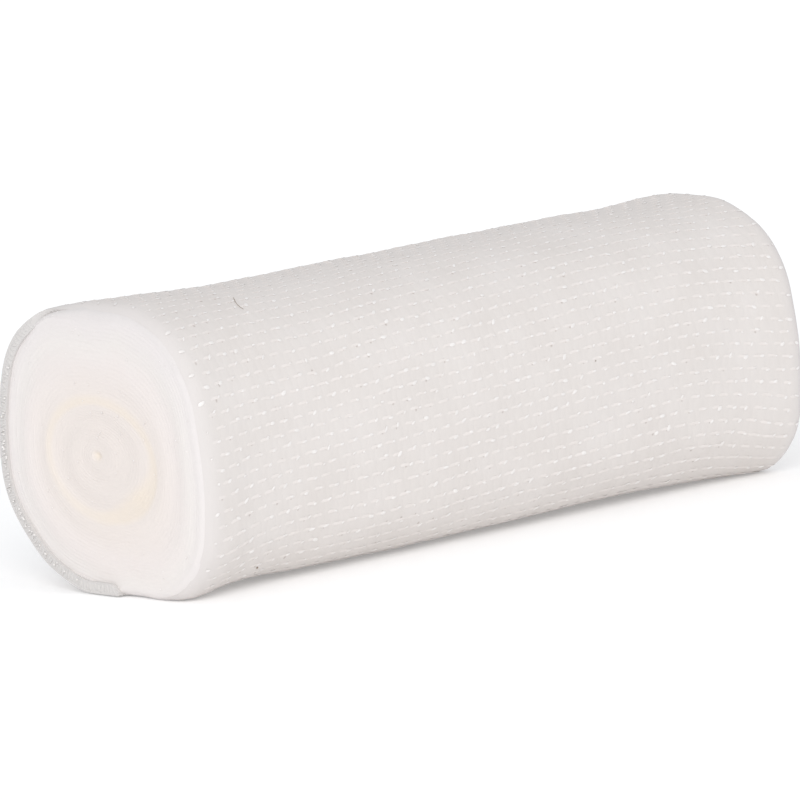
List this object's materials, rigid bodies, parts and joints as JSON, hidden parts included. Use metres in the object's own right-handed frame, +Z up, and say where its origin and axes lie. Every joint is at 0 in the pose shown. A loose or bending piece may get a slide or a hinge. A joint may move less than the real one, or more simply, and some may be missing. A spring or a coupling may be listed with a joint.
{
  "type": "gauze bandage roll",
  "caption": "Roll of white elastic woven gauze bandage lying on its side, its last half turn come loose and tucked under the roll.",
  "frame": {"origin": "bottom centre of the bounding box, on the surface that the roll lies on", "axes": "+Z up, X along the roll's axis with the front end face, which the picture shows, at -X"},
  "size_m": [0.0805, 0.0314, 0.0292],
  "materials": {
    "woven_gauze": "soft white open plain weave, matt with small glossy floats"
  },
  "bodies": {
    "root": {"bandage_roll": "woven_gauze", "loose_end": "woven_gauze"}
  },
  "joints": []
}
